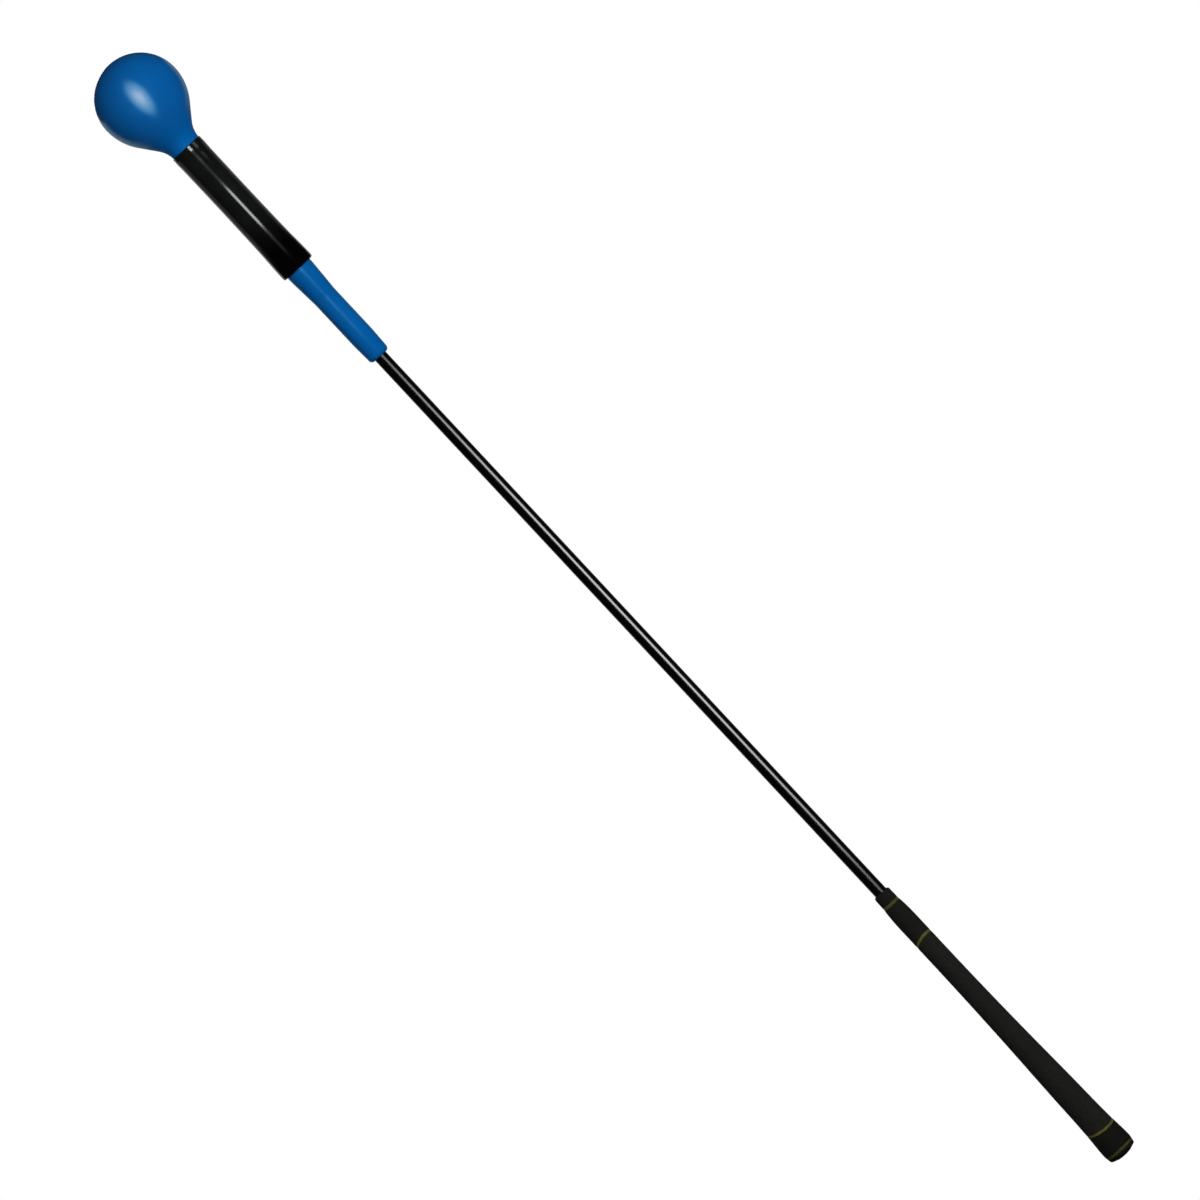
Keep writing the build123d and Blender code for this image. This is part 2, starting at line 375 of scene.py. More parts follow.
def black_vinyl():
    """Glossy shrunk vinyl: near black, with long soft ripples and fine rubs, and a blotchy grey painted
    reflection on its upper part that fades to black painted shade at the bottom.
    """
    paint = Paint("black_vinyl", (0.003, 0.0035, 0.0035), 0.13, IOR=1.5)
    # Painted reflection and shade: blotchy grey on the upper part, fading to pure black towards the
    # bottom.
    painted_sheen_rise = paint.remap(paint.height(), SLEEVE_LOW + 24 * MM, SLEEVE_LOW + 60 * MM)
    blotch = paint.remap(paint.noise(11 * MM, 4.0, 0.6, (1, 1, 0.5)), 0.3, 0.7)
    painted_sheen = paint.mix(blotch, (0.0040, 0.0047, 0.0036), (0.0074, 0.0090, 0.0088))
    paint.color(paint.mix(painted_sheen_rise, (0.0003, 0.0003, 0.0003), painted_sheen))
    rubs = paint.noise(1.2 * MM, 5.0, 0.65, (1, 1, 0.08))
    paint.rough(paint.remap(rubs, 0.35, 0.75, 0.12, 0.138))
    paint.bump(paint.noise(14 * MM, 1.0, 0.4, (1, 1, 0.25)), 0.03 * MM)
    return paint.material


def coated_rod():
    """Pultruded glass-fibre rod under a clear coat: black with faint fibres along it."""
    paint = Paint("coated_rod", (0.0003, 0.0003, 0.0003), 0.28, Coat_Weight=0.75, Coat_Roughness=0.15)
    paint.shader.inputs["Specular IOR Level"].default_value = 0.2
    fibres = paint.noise(0.5 * MM, 3.0, 0.6, (1, 1, 0.01))
    fibre_tone = paint.remap(fibres, 0.4, 0.7)
    paint.color(paint.mix(fibre_tone, (0.0002, 0.0002, 0.0002), (0.0007, 0.0007, 0.0008)))
    paint.rough(paint.remap(fibres, 0.3, 0.7, 0.22, 0.34))
    paint.bump(fibres, 0.004 * MM)
    return paint.material


def grip_rubber():
    """Matte moulded rubber: chalky green-grey black on the panel, darker on collars and cap."""
    paint = Paint("grip_rubber", (0.016, 0.0165, 0.0145), 0.82, IOR=1.45)
    chalk = paint.remap(paint.noise(3.2 * MM, 6.0, 0.62), 0.32, 0.72)
    worn = paint.remap(paint.noise(32 * MM, 3.0), 0.35, 0.7)
    panel = paint.mix(chalk, (0.0100, 0.0102, 0.0092), (0.0178, 0.0181, 0.0168))
    panel = paint.mix(worn, panel, (0.0130, 0.0133, 0.0121))
    upper_collar = paint.mix(chalk, (0.0092, 0.0098, 0.0084), (0.0120, 0.0127, 0.0111))
    butt_collar = paint.mix(chalk, (0.0066, 0.0072, 0.0060), (0.0088, 0.0095, 0.0081))
    collars = (("lower_panel_band", -MM, butt_collar), ("upper_panel_band", MM, upper_collar))
    for node, fade, collar in collars:
        slope = BAND_SHAPES[node][0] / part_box(node)[1].x
        edge = middle(node)
        beyond = paint.remap(paint.height(slope), edge - fade, edge + fade)
        panel = paint.mix(beyond, panel, collar)
    paint.color(panel)
    paint.rough(paint.remap(chalk, 0.0, 1.0, 0.74, 0.9))
    grain = paint.bump(paint.noise(0.35 * MM, 4.0, 0.7), 0.05 * MM)
    paint.bump(paint.noise(1.3 * MM, 3.0, 0.6), 0.05 * MM, after=grain)
    return paint.material


def gold_paint():
    """Gold paint rubbed into a groove: uneven, with the black rubber showing through in places."""
    paint = Paint("gold_paint", (0.20, 0.16, 0.035), 0.42, Metallic=0.35)
    cover = paint.remap(paint.noise(1.1 * MM, 5.0, 0.7), 0.30, 0.48)
    tone = paint.remap(paint.noise(4 * MM, 3.0), 0.35, 0.65)
    gold = paint.mix(tone, (0.118, 0.111, 0.022), (0.188, 0.176, 0.035))
    # The cap and mouth bands are made darker than the slanted bands.
    height, cap_side, mouth_side = paint.height(), middle("cap_band"), middle("mouth_band")
    darker_end_bands = paint.add(
        paint.remap(height, cap_side + 3 * MM, cap_side + 9 * MM, 0.5, 0.0),
        paint.remap(height, mouth_side - 9 * MM, mouth_side - 3 * MM, 0.0, 0.42),
    )
    gold = paint.mix(darker_end_bands, gold, (0.03, 0.03, 0.012))
    paint.color(paint.mix(cover, (0.05, 0.046, 0.016), gold))
    paint.rough(paint.remap(cover, 0.0, 1.0, 0.6, 0.38))
    paint.bump(paint.noise(0.5 * MM, 4.0, 0.6), 0.03 * MM)
    return paint.material


def core_rubber():
    """Filled black rubber of the ball's core: dense specks of filler."""
    paint = Paint("core_rubber", (0.03, 0.03, 0.03), 0.7)
    speck = paint.remap(paint.noise(1.5 * MM, 5.0, 0.7), 0.55, 0.62)
    paint.color(paint.mix(speck, (0.022, 0.022, 0.023), (0.075, 0.075, 0.072)))
    paint.bump(paint.noise(0.8 * MM, 4.0), 0.08 * MM)
    return paint.material


def steel():
    """Turned steel: bright, with fine rings from the lathe."""
    paint = Paint("steel", (0.55, 0.55, 0.56), 0.32, Metallic=1.0)
    rings = paint.noise(0.25 * MM, 4.0, 0.7, (0.05, 0.05, 1))
    paint.rough(paint.remap(rings, 0.3, 0.7, 0.24, 0.42))
    paint.color(paint.mix(paint.noise(9 * MM, 3.0), (0.50, 0.50, 0.51), (0.61, 0.61, 0.60)))
    paint.bump(rings, 0.01 * MM)
    return paint.material


def aluminium():
    """Drawn aluminium: pale, with streaks along it."""
    paint = Paint("aluminium", (0.76, 0.76, 0.78), 0.36, Metallic=1.0)
    streaks = paint.noise(0.4 * MM, 4.0, 0.6, (1, 1, 0.04))
    paint.rough(paint.remap(streaks, 0.3, 0.7, 0.28, 0.46))
    paint.bump(streaks, 0.01 * MM)
    return paint.material


def hard_plastic():
    """Grey-black extruded plastic with a faint orange peel."""
    paint = Paint("hard_plastic", (0.06, 0.06, 0.06), 0.45)
    paint.color(paint.mix(paint.noise(7 * MM, 3.0), (0.05, 0.05, 0.05), (0.07, 0.07, 0.072)))
    paint.bump(paint.noise(0.9 * MM, 2.0), 0.02 * MM)
    return paint.material


def tape():
    """Cream cloth tape with a woven face."""
    paint = Paint("tape", (0.62, 0.58, 0.47), 0.85)
    warp = paint.nodes.new("ShaderNodeTexWave")
    warp.bands_direction = "Z"
    warp.inputs["Scale"].default_value = 1.0 / (2.4 * MM)
    paint.links.new(paint.place, warp.inputs["Vector"])
    fuzz = paint.noise(0.6 * MM, 4.0, 0.7)
    paint.color(paint.mix(fuzz, (0.52, 0.48, 0.38), (0.70, 0.66, 0.55)))
    paint.bump(warp.outputs["Fac"], 0.06 * MM)
    return paint.material


MATERIALS = {
    "blue_moulding": blue_moulding(),
    "black_vinyl": black_vinyl(),
    "coated_rod": coated_rod(),
    "grip_rubber": grip_rubber(),
    "gold_paint": gold_paint(),
    "core_rubber": core_rubber(),
    "steel": steel(),
    "aluminium": aluminium(),
    "hard_plastic": hard_plastic(),
    "tape": tape(),
}


def dress(piece, slot, *nodes):
    """Gives a new piece its material and slot, and lets it stand for CAD nodes."""
    piece.data.materials.clear()
    piece.data.materials.append(MATERIALS[slot])
    if nodes:
        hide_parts(*nodes)
    return piece


# Head ----------------------------------------------------------------------
def bulb_outline():
    """The ball from its top pole down its cone and neck, then back up inside to the cavity's pole."""
    slope = math.radians(CONE_ANGLE)
    shoulder = (BALL_RADIUS - SHOULDER_RADIUS, BALL_HEIGHT)
    cone_top = np.array([
        shoulder[0] + SHOULDER_RADIUS * math.cos(slope),
        shoulder[1] - SHOULDER_RADIUS * math.sin(slope),
    ])
    corner_height = cone_top[1] - (cone_top[0] - NECK_RADIUS) / math.tan(slope)
    reach = NECK_FILLET * math.tan(slope / 2)
    fillet_centre = (NECK_RADIUS + NECK_FILLET, corner_height - reach)
    neck_top = (NECK_RADIUS, corner_height - reach)
    fillet = arc(fillet_centre, NECK_FILLET, 180 - CONE_ANGLE, 180, 24)
    entry = math.degrees(math.acos(-(ROD_RADIUS + GLUE_GAP) / CORE_RADIUS))
    return outline(
        arc((0, BALL_HEIGHT), BALL_RADIUS, 90, 0, 72),
        arc(shoulder, SHOULDER_RADIUS, 0, -CONE_ANGLE, 28),
        line(cone_top, fillet[0], 14),
        fillet,
        line(neck_top, (NECK_RADIUS, NECK_LOW), 30),
        line((NECK_RADIUS, NECK_LOW), (WEIGHT_RADIUS, NECK_LOW), 3),
        line((WEIGHT_RADIUS, NECK_LOW), (WEIGHT_RADIUS, WEIGHT_HIGH), 20),
        line((WEIGHT_RADIUS, WEIGHT_HIGH), (ROD_RADIUS + GLUE_GAP, WEIGHT_HIGH), 3),
        arc((0, BALL_HEIGHT), CORE_RADIUS, entry - 180, 90, 90),
    )


def bulb():
    """Ball, cone and neck in one moulding, with a fine parting line on two sides."""
    points = bulb_outline()
    parting = VIEW_AZIMUTH
    close_to_line = np.radians([-0.5, -0.33, -0.16, 0.0, 0.16, 0.33, 0.5])
    side = np.r_[close_to_line, np.radians(np.linspace(1.2, 178.8, 128))]
    angles = parting + np.r_[side, side + math.pi]
    radius, height = swept(points, angles)
    from_line = np.abs(np.sin(angles - parting)) * BALL_RADIUS
    groove = np.clip(1 - (from_line / PARTING_WIDTH) ** 2, 0, 1)
    outside = np.arange(len(points)) < np.argmax(points[:, 1] <= NECK_LOW + GLUE_GAP)
    thick = np.clip(points[:, 0] / NECK_RADIUS, 0, 1)
    radius = radius - np.outer(outside * thick, groove) * PARTING_DEPTH
    piece = sheet_mesh("ball_moulding", radius, height, angles, closed=False)
    return dress(piece, "blue_moulding", "ball_cover")


def sleeve():
    """Shrunk vinyl sleeve: lip at the top, slow ripples, flare and turned-in edge at the bottom."""
    lip = 0.5 * MM
    turn = 1.9 * MM
    inner = NECK_RADIUS + GLUE_GAP
    flare_inner = SLEEVE_FLARE - SLEEVE_WALL
    collar_top = SLEEVE_LOW + 7.5 * MM
    boot_face = BOOT_SHOULDER + 0.25 * MM
    points = outline(
        arc((SLEEVE_LIP - 0.12 * MM - lip, SLEEVE_HIGH - lip), lip, 90, 0, 6),
        smooth([
            (SLEEVE_FLARE, SLEEVE_LOW + 5 * MM),
            (SLEEVE_RADIUS + 0.3 * MM, SLEEVE_LOW + 27 * MM),
            (SLEEVE_RADIUS, SLEEVE_LOW + 55 * MM),
            (SLEEVE_RADIUS, SLEEVE_HIGH - 20 * MM),
            (SLEEVE_RADIUS + 0.05 * MM, SLEEVE_HIGH - 11 * MM),
            (SLEEVE_LIP, SLEEVE_HIGH - 4.6 * MM),
            (SLEEVE_LIP - 0.12 * MM, SLEEVE_HIGH - lip),
        ], 22)[::-1],
        arc((SLEEVE_FLARE - turn, SLEEVE_LOW + turn), turn, 0, -90, 10),
        line((SLEEVE_FLARE - turn, SLEEVE_LOW), (boot_face + 0.3 * MM, SLEEVE_LOW), 2),
        line((boot_face, SLEEVE_LOW + 0.3 * MM), (boot_face, SLEEVE_LOW + 3.2 * MM), 3),
        line((flare_inner, SLEEVE_LOW + 3.55 * MM), (flare_inner, collar_top), 4),
        line((inner, NECK_LOW), (inner, SLEEVE_HIGH), 40),
    )
    angles = even_angles(160)
    radius, height = swept(points, angles)
    along = (height - SLEEVE_LOW) / (SLEEVE_HIGH - SLEEVE_LOW)
    wave = (
        np.sin(2 * math.pi * (1.3 * along) + 1.3 + 2 * np.cos(angles))
        + 0.5 * np.sin(2 * math.pi * (3.1 * along) + 3 * np.sin(angles + 0.7))
    )
    outside = radius > SLEEVE_RADIUS - 0.1 * MM
    shown = outside * step_up(along, 0.04, 0.3) * (1 - step_up(along, 0.55, 0.9))
    radius = radius + SLEEVE_WAVE * wave * shown
    return dress(sheet_mesh("vinyl_sleeve", radius, height, angles), "black_vinyl", "head_sleeve")


def boot():
    """Tapered blue boot from its collar under the sleeve down to its rounded end on the rod."""
    bore = ROD_RADIUS + GLUE_GAP
    taper_high = SLEEVE_LOW - 0.7 * MM
    taper = taper_high - BOOT_TAPER_LOW
    lip = 0.35 * MM
    rounding = BOOT_ROUNDING + BOOT_WEAR
    points = outline(
        line((bore, BOOT_HIGH), (NECK_RADIUS, BOOT_HIGH), 2),
        line((BOOT_COLLAR, SLEEVE_LOW + 7.5 * MM), (BOOT_COLLAR, SLEEVE_LOW + 3.6 * MM), 2),
        line((BOOT_SHOULDER + 0.2 * MM, SLEEVE_LOW + 3.6 * MM), (BOOT_SHOULDER, taper_high), 4),
        smooth([
            (BOOT_RADIUS, BOOT_TAPER_LOW),
            (BOOT_RADIUS + 0.22 * MM, BOOT_TAPER_LOW + 0.12 * taper),
            (BOOT_RADIUS + 1.02 * MM, BOOT_TAPER_LOW + 0.55 * taper),
            (BOOT_SHOULDER, taper_high),
        ], 14)[::-1],
        line((BOOT_RADIUS, BOOT_TAPER_LOW), (BOOT_RADIUS, BOOT_END_TAPER), 16),
        line((BOOT_RADIUS, BOOT_END_TAPER), (BOOT_END, BOOT_LOW + rounding), 10),
        arc((BOOT_END - rounding, BOOT_LOW + rounding), rounding, 0, -84, 12),
        line((bore + 0.12 * MM, BOOT_LOW + 0.08 * MM), (bore, BOOT_LOW + lip), 2),
        line((bore, BOOT_LOW + lip), (bore, BOOT_HIGH), 40),
    )
    return dress(turned("boot_moulding", points, 128), "blue_moulding", "tail_boot")


# Shaft ---------------------------------------------------------------------
def rod_length(name, low, high):
    """Plain stretch of the rod with enough rows to bend smoothly."""
    steps = max(8, round((high - low) / (3 * MM)))
    points = outline(
        line((0, low), (ROD_RADIUS, low), 2),
        line((ROD_RADIUS, low), (ROD_RADIUS, high), steps),
        line((ROD_RADIUS, high), (0, high), 2),
    )
    return turned(name, points, 96, closed=False)


def shaft():
    """The rod in four lengths that meet between the hinges, each left unparented with its transform baked
    in.
    """
    joints = frame["joints"]
    spans = {
        "handle": "shaft_butt_span",
        "lower_shaft": "shaft_lower_span",
        "middle_shaft": "shaft_middle_span",
        "upper_shaft": "shaft_upper_span",
        "head": "shaft_tip_span",
    }
    cuts = [ROD_LOW, *[(a + b) / 2 for a, b in zip(HINGES, HINGES[1:])], ROD_HIGH]
    for i, joint in enumerate(joints):
        piece = rod_length(f"rod_length_{i + 1}", cuts[i], cuts[i + 1])
        stood_for = [spans[joint["parent"]]]
        if i == len(joints) - 1:
            stood_for.append(spans[joint["child"]])
        dress(piece, "coated_rod", *stood_for)
        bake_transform(piece)


# Grip ----------------------------------------------------------------------
def rim_radius(height):
    """Radius of the swollen rim at the butt."""
    return BUTT_RADIUS - RIM_BULGE + np.sqrt(RIM_BULGE**2 - (RIM_HEIGHT - height) ** 2)


def rim_arc(low, high, steps):
    height = np.linspace(low, high, steps + 1)
    return np.column_stack([rim_radius(height), height])


def grip_profile():
    """Outside of the grip without grooves, from its butt end to its mouth."""
    step_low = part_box("mouth_band")[0].z
    step_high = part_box("mouth_band")[1].z
    height = np.linspace(GRIP_SHOULDER_LOW, step_low, 16)
    along = (height - GRIP_SHOULDER_LOW) / (step_low - GRIP_SHOULDER_LOW)
    shoulder = GRIP_TOP_RADIUS - (GRIP_TOP_RADIUS - MOUTH_BAND_RADIUS) * along**2
    lip_rounding = 0.95 * MM
    return outline(
        rim_arc(GRIP_LOW, RIM_HEIGHT, 8),
        smooth([(BUTT_RADIUS, RIM_HEIGHT), *GRIP_TAPER, (GRIP_TOP_RADIUS, GRIP_STRAIGHT_LOW)], 24),
        line((GRIP_TOP_RADIUS, GRIP_STRAIGHT_LOW), (GRIP_TOP_RADIUS, GRIP_SHOULDER_LOW), 4),
        np.column_stack([shoulder, height]),
        line((MOUTH_BAND_RADIUS, step_low), (MOUTH_BAND_RADIUS - 0.1 * MM, step_high)),
        line((LIP_RADIUS, step_high), (LIP_RADIUS - 0.1 * MM, GRIP_MOUTH - 5 * MM), 3),
        arc((6.75 * MM, GRIP_MOUTH - 1.6 * MM), lip_rounding, 30, 80, 4),
    )


GRIP_RADII, GRIP_HEIGHTS = outline(rim_arc(CAP_CORNER, GRIP_LOW, 6), grip_profile()).T


def grip_radius(height):
    return np.interp(height, GRIP_HEIGHTS, GRIP_RADII)


BANDS = {
    node: {"middle": middle(node), "width": width, "rise": rise}
    for node, (rise, width) in BAND_SHAPES.items()
}
PANEL_BANDS = ("lower_panel_band", "upper_panel_band")


def slant(band, angles):
    """How much higher a band lies at each angle; its front is at -Y."""
    return -band["rise"] * np.sin(angles)


def gold_band(node):
    """Paint that fills a groove, sunk a little below the rubber."""
    band = BANDS[node]
    angles = even_angles(192)
    lift = slant(band, angles)
    half = band["width"] / 2 - 0.02 * MM
    across = np.linspace(-half, half, 7)
    height = band["middle"] + lift + across[:, None]
    edge = np.abs(across / half)[:, None]
    outer = grip_radius(height) - BAND_SUNK - 0.05 * MM * edge**4
    outer = outer - 0.02 * MM * (1 + np.sin(23 * angles) * np.sin(7 * angles + 1))
    inner = grip_radius(height[[-1, 0]]) - BAND_DEPTH + 0.02 * MM
    radius = np.vstack([outer, inner])
    height = np.vstack([height, height[[-1, 0]]])
    return dress(sheet_mesh(f"{node}_paint", radius, height, angles), "gold_paint", node)


def row_heights():
    """Nominal heights of the grip's rows: even steps, with a narrow one at each band's edges."""
    edge = 0.12 * MM
    stops = [GRIP_LOW]
    for node in (*PANEL_BANDS, "mouth_band"):
        band = BANDS[node]
        low = band["middle"] - band["width"] / 2
        high = band["middle"] + band["width"] / 2
        stops += [low - edge, low, high, high + edge]
    stops.append(GRIP_MOUTH - 0.7 * MM)
    heights = []
    for low, high in zip(stops, stops[1:]):
        steps = max(1, round((high - low) / (0.45 * MM)))
        heights += list(np.linspace(low, high, steps, endpoint=False))
    return np.array(heights + [stops[-1]])


def between(value, low, high, fade_in, fade_out):
    """0 outside low and high, and 1 between them once it has faded in and until it fades out."""
    return step_up(value, low, low + fade_in) * (1 - step_up(value, high - fade_out, high))


def panel_pattern(nominal, height, angles):
    """Depth of the moulded pattern: crossed helical grooves on the panel, fine ribs on the collars."""
    lower, upper = [BANDS[node]["middle"] for node in PANEL_BANDS]
    turns = HELIX_STARTS * angles / (2 * math.pi)
    rise = height / HELIX_PITCH
    grooves = 0
    for way in (rise, -rise):
        from_groove = np.abs(np.sin(math.pi * (turns + way)))
        grooves = grooves + np.clip(1 - from_groove / HELIX_WIDTH, 0, 1) ** 1.5
    grooves = np.minimum(grooves, 1.1)
    ribs = 0.5 - 0.5 * np.cos(COLLAR_RIBS * angles)
    margin = PATTERN_MARGIN
    panel = between(nominal, lower + margin, upper - margin, margin, margin)
    upper_collar = between(nominal, upper + margin, GRIP_SHOULDER_LOW + 14 * MM, margin, 6 * MM)
    butt_collar = between(nominal, GRIP_LOW + 3 * MM, lower - margin, 3 * MM, margin)
    return HELIX_DEPTH * panel * grooves + RIB_DEPTH * (upper_collar + butt_collar) * ribs


def grip():
    """The grip's outside, with its grooves, pattern and mouth, and its bore."""
    angles = even_angles(240)
    nominal = row_heights()[:, None]
    height = nominal + np.zeros_like(angles)
    for band in [BANDS[node] for node in PANEL_BANDS]:
        reach = min(34 * MM, band["middle"] - GRIP_LOW)
        height = height + near(nominal, band["middle"], reach) * slant(band, angles)
    radius = grip_radius(height)
    for band in [BANDS[node] for node in (*PANEL_BANDS, "mouth_band")]:
        inside = np.abs(nominal - band["middle"]) < band["width"] / 2 + 0.01 * MM
        radius = radius - BAND_DEPTH * inside
        soft_edge = near(nominal, band["middle"], band["width"] / 2 + 0.9 * MM) * ~inside
        radius = radius - 0.06 * MM * soft_edge
    radius = radius - panel_pattern(nominal, height, angles)
    mouth_bore = ROD_RADIUS + GLUE_GAP
    mouth_rounding = 0.5 * MM
    bore = outline(
        arc((mouth_bore + mouth_rounding, GRIP_MOUTH - mouth_rounding), mouth_rounding, 90, 180, 5),
        line((mouth_bore, GRIP_MOUTH - 0.6 * MM), (mouth_bore, GRIP_SHOULDER_LOW + BORE_STEP), 6),
        line((GRIP_BORE, GRIP_SHOULDER_LOW), (GRIP_BORE, CAP_HIGH), 30),
        line((CAP_SPIGOT, CAP_HIGH), (CAP_SPIGOT, GRIP_LOW), 2),
    )
    bore_radius, bore_height = swept(bore, angles)
    radius = np.vstack([radius, bore_radius])
    height = np.vstack([height, bore_height])
    return dress(sheet_mesh("grip_moulding", radius, height, angles), "grip_rubber", "grip_sleeve")


def cap():
    """Domed end cap with two moulded rings round the vent hole."""
    low = BANDS["cap_band"]["middle"] - BANDS["cap_band"]["width"] / 2
    groove_floor = rim_radius(low) - BAND_DEPTH
    dome_start = 2.8 * MM
    dome_edge = (10.9 * MM, 2.1 * MM)
    across = np.linspace(0, 1, 60)
    radius = dome_start + across * (dome_edge[0] - dome_start)
    dome = dome_edge[1] * across**1.9
    for ring in (5.2 * MM, 8.6 * MM):
        dome = dome + 0.22 * MM * near(radius, ring, 0.8 * MM)
    corner = (rim_radius(CAP_CORNER), CAP_CORNER)
    control = np.array([13.0 * MM, 2.6 * MM])
    bend = np.linspace(0, 1, 10)[:, None]
    corner_run = (1 - bend) ** 2 * dome_edge + 2 * bend * (1 - bend) * control + bend**2 * corner
    bevel = 0.35 * MM
    spigot = CAP_SPIGOT - 0.01 * MM
    points = outline(
        line((VENT_RADIUS, CAP_HIGH), (VENT_RADIUS, bevel), 8),
        line((VENT_RADIUS + bevel, 0.0), (dome_start, 0.0), 2),
        np.column_stack([radius, dome]),
        corner_run,
        rim_arc(CAP_CORNER, low, 2),
        line((groove_floor, low), (groove_floor, GRIP_LOW), 2),
        line((spigot, GRIP_LOW), (spigot, CAP_HIGH), 3),
    )
    return dress(turned("end_cap", points, 144), "grip_rubber", "grip_cap")


# Assembly ------------------------------------------------------------------
NODE_SLOTS = {row["node"]: row["material_slot"] for row in frame["record"]["subparts"]}
for node, piece in frame["nodes"].items():
    piece.data.materials.clear()
    piece.data.materials.append(MATERIALS[NODE_SLOTS[node]])

for piece in (bulb(), sleeve(), boot()):
    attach(piece, "head")
shaft()
for piece in (grip(), cap(), *[gold_band(node) for node in BANDS]):
    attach(piece, "handle")


# Camera --------------------------------------------------------------------
def around(azimuth, distance, height):
    """Point at a distance from the stick, azimuth degrees to the right of the camera."""
    angle = VIEW_AZIMUTH + math.radians(azimuth)
    return Vector((math.sin(angle) * distance, -math.cos(angle) * distance, height))


def camera():
    """Camera a little above level, rolled so that the stick crosses the picture."""
    side = TOP / LENGTH_IN_PICTURE
    level = Vector((math.cos(VIEW_AZIMUTH), math.sin(VIEW_AZIMUTH), 0))
    ahead = around(0, -math.cos(VIEW_ELEVATION), -math.sin(VIEW_ELEVATION))
    along = level.cross(ahead)
    right = level * math.sin(STICK_TILT) - along * math.cos(STICK_TILT)
    top = level * math.cos(STICK_TILT) + along * math.sin(STICK_TILT)
    aim = Vector((0, 0, TOP / 2)) - right * (MIDDLE_RIGHT * side) + top * (MIDDLE_DOWN * side)
    data = bpy.data.cameras.new("camera")
    data.lens = LENS_MM
    data.sensor_width = SENSOR_MM
    data.clip_start = 0.05
    data.clip_end = 60.0
    eye = bpy.data.objects.new("camera", data)
    bpy.context.scene.collection.objects.link(eye)
    turn = Matrix((right, top, -ahead)).transposed().to_4x4()
    eye.matrix_world = Matrix.Translation(aim - ahead * (LENS_MM / SENSOR_MM * side)) @ turn
    bpy.context.scene.camera = eye
    return eye


# Light ---------------------------------------------------------------------
WHITE = (1.0, 1.0, 1.0)
RIM_TEAL = (0.65, 0.9, 0.85)
BOOT_STREAK_TINT = (0.35, 1.0, 0.85)
BLUE_PIECES = ["ball_moulding", "boot_moulding"]
ROD_PIECES = [f"rod_length_{i + 1}" for i in range(len(HINGES))]


def panel(name, azimuth, distance, heights, width, radiance, only=(), color=WHITE, aim_height=None,
          oval=False, **visible):
    """Soft light that faces the stick, between two heights.

    Its brightness is radiance. It lights only the named pieces, if any are named, and visible
    turns off kinds of ray.
    """
    low, high = heights
    middle_height = (low + high) / 2
    data = bpy.data.lights.new(name, "AREA")
    data.shape = "ELLIPSE" if oval else "RECTANGLE"
    data.size = width
    data.size_y = high - low
    data.energy = radiance * math.pi * width * (high - low) * (math.pi / 4 if oval else 1)
    data.color = color
    light = bpy.data.objects.new(name, data)
    bpy.context.scene.collection.objects.link(light)
    light.location = around(azimuth, distance, middle_height)
    target = Vector((0, 0, middle_height if aim_height is None else aim_height))
    light.rotation_mode = "QUATERNION"
    light.rotation_quaternion = (target - light.location).to_track_quat("-Z", "Y")
    light.visible_camera = False
    for ray, seen in visible.items():
        setattr(light, f"visible_{ray}", seen)
    # A light kept out of the gloss would still glint in it, by the rays that meet it by chance.
    data.cycles.use_multiple_importance_sampling = light.visible_glossy
    if only:
        receivers = bpy.data.collections.new(f"{name}_reaches")
        for piece in only:
            receivers.objects.link(bpy.data.objects[piece])
        light.light_linking.receiver_collection = receivers
    return light


def mirrored(height, distance):
    """Height at a distance from the stick that the camera sees mirrored in the stick at a height."""
    eye = bpy.context.scene.camera.location
    return height + (height - eye.z) * distance / math.hypot(eye.x, eye.y)


def glint(name, azimuth, distance, low, high, width, radiance, only, color=WHITE):
    """Strip that mirrors in a glossy upright piece from one of its heights to another."""
    heights = (mirrored(low, distance), mirrored(high, distance))
    panel(name, azimuth, distance, heights, width, radiance, only=only, color=color, diffuse=False)


def room_lights():
    """Soft key from the right and weak fills all round, none of them seen in the gloss."""
    panel("key", 25, 2.4, (0.4, 2.2), 1.6, 6.5, aim_height=0.8, glossy=False)
    panel("front_fill", -30, 2.6, (0.2, 1.8), 1.4, 0.9, aim_height=0.7, glossy=False)
    panel("back_fill", 195, 2.4, (0.1, 1.9), 1.8, 4.2, aim_height=0.7, glossy=False)
    panel("side_fill", -100, 2.4, (0.1, 1.9), 1.2, 0.4, aim_height=0.7, glossy=False)
    panel("grip_side", 78, 1.2, (-0.1, 0.5), 0.5, 1.5, only=["grip_moulding", "end_cap"], aim_height=0.15,
          glossy=False)


def rim_lights():
    """Panels behind the stick that catch its edges, tinted where they reach the blue pieces."""
    meshes = [piece.name for piece in bpy.data.objects if piece.type == "MESH"]
    black_pieces = [name for name in meshes if name not in BLUE_PIECES]
    for name, pieces, color in (("blue", BLUE_PIECES, RIM_TEAL), ("black", black_pieces, WHITE)):
        rim = {"only": pieces, "color": color, "diffuse": False}
        panel(f"{name}_rim_left", -150, 1.6, (0.0, 1.4), 1.2, 0.55, **rim)
        panel(f"{name}_rim_right", 152, 1.6, (0.0, 1.4), 0.9, 0.4, **rim)
    panel("back_strip", 184, 1.4, (0.0, 1.5), 0.12, 3.0, diffuse=False)


def rod_streak():
    """Nested strips, so that the streak on the bare rod is brightest in the middle of its length."""
    for i in range(6):
        low = GRIP_MOUTH + (6 + 30 * i) * MM
        high = BOOT_LOW + (5.6 - 31 * i) * MM
        glint(f"rod_strip_{i + 1}", 29, 1.3 + 0.02 * i, low, high, 0.72, 2.3, ROD_PIECES)


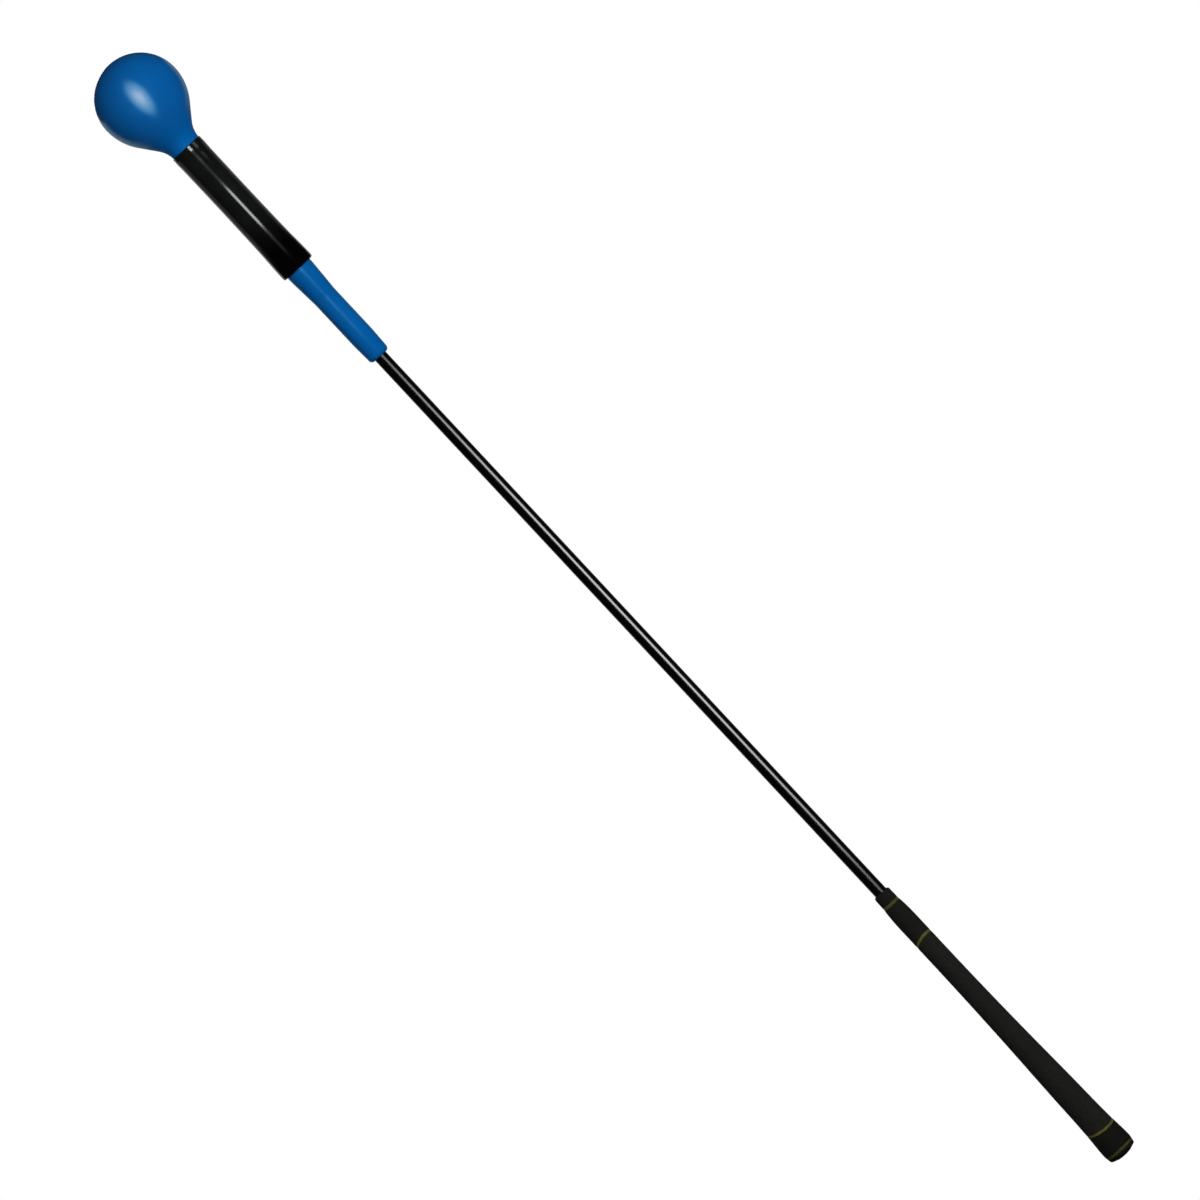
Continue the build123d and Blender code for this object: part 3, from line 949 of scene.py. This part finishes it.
def sleeve_streaks():
    """A short bright streak in a long dim one, a glint on the lip and faint edges."""
    low, high = SLEEVE_LOW, SLEEVE_HIGH
    only = ["vinyl_sleeve"]
    glint("sleeve_streak", 14, 0.16, low + 49 * MM, low + 87 * MM, 0.040, 10.5, only)
    glint("sleeve_glow", 14, 0.18, low + 30 * MM, high - 12 * MM, 0.05, 0.3, only)
    glint("lip_glint", 14, 0.17, high - 6 * MM, high + 12 * MM, 0.045, 16.0, only)
    glint("lip_glow", 56, 0.17, high - 14 * MM, high + 16 * MM, 0.055, 1.3, only)
    glint("sleeve_rim_right", 122, 0.3, low + 36 * MM, high, 0.18, 0.14, only)
    glint("sleeve_rim_left", -110, 0.3, low + 36 * MM, high, 0.16, 0.22, only)


def boot_streak():
    """Soft streak on the boot, fading towards its end."""
    low, high = BOOT_LOW + 42 * MM, SLEEVE_LOW + 10 * MM
    glint("boot_streak", 10, 0.4, low, high, 0.15, 8.5, ["boot_moulding"], BOOT_STREAK_TINT)


def ball_highlight():
    """Nested ovals: a highlight that fades outwards, from nearly white to blue-green."""
    centre = BALL_HEIGHT + 75 * MM
    for i in range(8):
        spread = 4.1 * 0.74**i
        half = 0.30 * spread
        width = 0.27 * min(spread, 2.1)
        radiance = min(0.8 + 0.8 * i, 2.72 - 0.16 * i)
        tint = (max(0.3, 0.275 * i), 0.92, 0.86 - 0.07 * i)
        panel(f"ball_glow_{i + 1}", 1, 0.7 + 0.01 * i, (centre - half, centre + half), width, radiance,
              only=["ball_moulding"], color=tint, aim_height=BALL_HEIGHT, oval=True, diffuse=False)


def world():
    """White to the eye, a weak even fill on the stick, and nearly dark in its gloss."""
    scene_world = bpy.data.worlds.new("studio_world")
    bpy.context.scene.world = scene_world
    scene_world.use_nodes = True
    nodes, links = scene_world.node_tree.nodes, scene_world.node_tree.links
    nodes.clear()
    rays = nodes.new("ShaderNodeLightPath")
    output = nodes.new("ShaderNodeOutputWorld")
    shade = None
    for strength, ray in ((0.14, None), (0.015, "Is Glossy Ray"), (1.0, "Is Camera Ray")):
        background = nodes.new("ShaderNodeBackground")
        background.inputs["Color"].default_value = (1, 1, 1, 1)
        background.inputs["Strength"].default_value = strength
        if shade is None:
            shade = background.outputs[0]
            continue
        mix = nodes.new("ShaderNodeMixShader")
        links.new(rays.outputs[ray], mix.inputs[0])
        links.new(shade, mix.inputs[1])
        links.new(background.outputs[0], mix.inputs[2])
        shade = mix.outputs[0]
    links.new(shade, output.inputs["Surface"])


def floor():
    """Plain white floor under the held stick, lit to the same white as the background."""
    mesh = bpy.data.meshes.new("floor")
    half, level = FLOOR_HALF_SIDE, FLOOR_LEVEL
    corners = [(-half, -half, level), (half, -half, level), (half, half, level), (-half, half, level)]
    mesh.from_pydata(corners, [], [(0, 1, 2, 3)])
    ground = bpy.data.objects.new("floor", mesh)
    bpy.context.scene.collection.objects.link(ground)
    paint = Paint("floor", (0.0, 0.0, 0.0), 1.0)
    paint.shader.inputs["Specular IOR Level"].default_value = 0.0
    paint.shader.inputs["Emission Color"].default_value = (1, 1, 1, 1)
    paint.shader.inputs["Emission Strength"].default_value = 1.0
    mesh.materials.append(paint.material)
    ground.visible_glossy = False
    ground.visible_diffuse = False


camera()
room_lights()
rim_lights()
rod_streak()
sleeve_streaks()
boot_streak()
ball_highlight()
world()
floor()
bpy.context.scene.view_settings.view_transform = "Standard"
